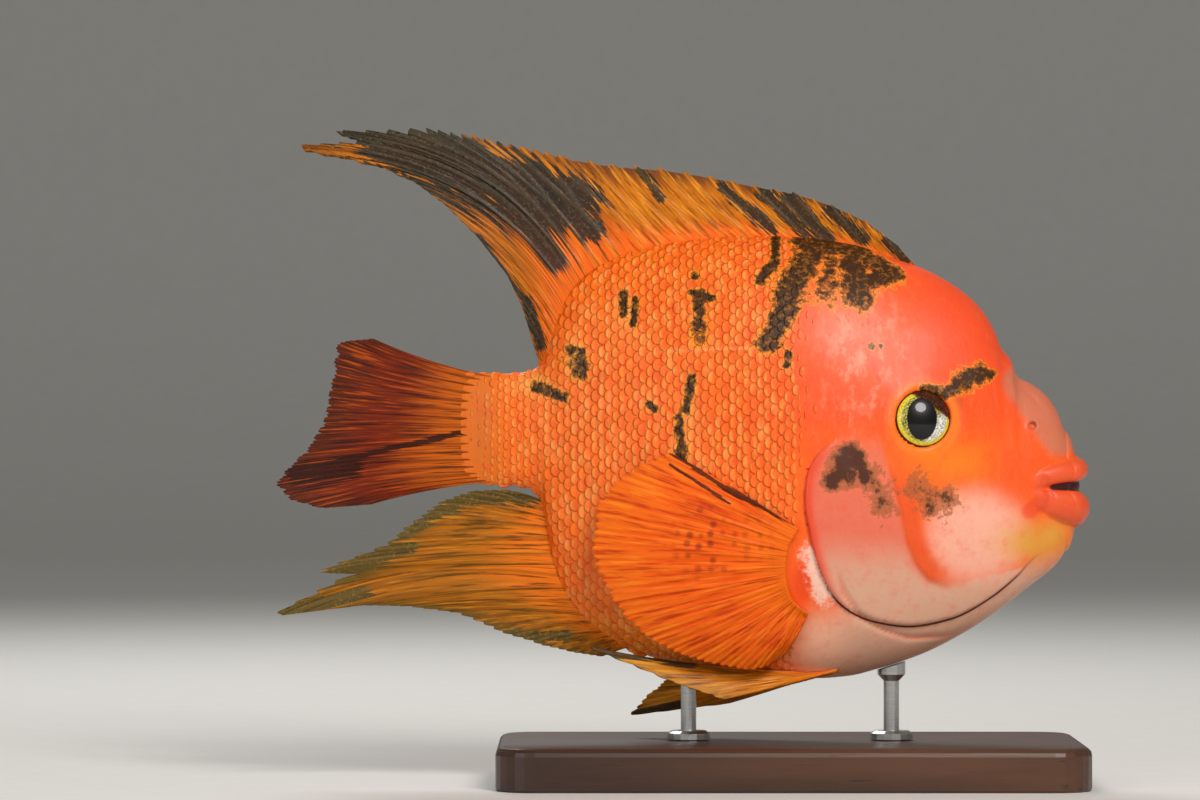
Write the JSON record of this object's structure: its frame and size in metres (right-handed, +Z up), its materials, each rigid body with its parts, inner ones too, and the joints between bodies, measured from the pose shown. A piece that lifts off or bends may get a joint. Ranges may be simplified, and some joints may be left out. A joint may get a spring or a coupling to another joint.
{
  "type": "blood parrot cichlid display model",
  "caption": "Life-size still model of a blood parrot cichlid with a trailing dorsal fin, held over a flat rectangular base by short rods.",
  "frame": {"origin": "middle of the flat underside of the base, on the floor", "axes": "+X runs along the fish towards its snout, its right side faces -Y, +Z is up"},
  "size_m": [0.2115, 0.08, 0.1685],
  "materials": {
    "body_skin": "saturated orange scaled skin with a moist, satin gloss and dark brown blotches",
    "head_skin": "coral orange to pale salmon scaleless skin, satin gloss",
    "lip_skin": "smooth red-orange lips, moist gloss",
    "eye": "black pupil in a yellow-green and silver iris under a clear, glossy cornea",
    "fin_amber": "thin amber fin membrane with raised darker rays, satin",
    "fin_olive": "thin fin membrane, olive grey with amber edges and raised rays, satin",
    "fin_red": "thin fin membrane, reddish brown with an amber root and raised rays, satin",
    "fin_orange": "thin bright orange fin membrane with fine raised rays, satin",
    "stand_wood": "dark walnut, satin oil finish",
    "stand_steel": "brushed stainless steel"
  },
  "bodies": {
    "root": {"head": "head_skin", "trunk": "body_skin", "tail_stalk": "body_skin", "upper_lip": "lip_skin", "lower_lip": "lip_skin", "gill_cover_right": "head_skin", "gill_cover_left": "head_skin", "eye_right": "eye", "eye_left": "eye", "dorsal_fin_spiny": "fin_amber", "dorsal_fin_soft": "fin_olive", "anal_fin": "fin_amber", "caudal_fin": "fin_red", "pectoral_fin_right": "fin_orange", "pectoral_fin_left": "fin_orange", "pelvic_fin_right": "fin_amber", "pelvic_fin_left": "fin_amber", "stand_base": "stand_wood", "stand_rod_front": "stand_steel", "stand_rod_rear": "stand_steel"}
  },
  "joints": []
}
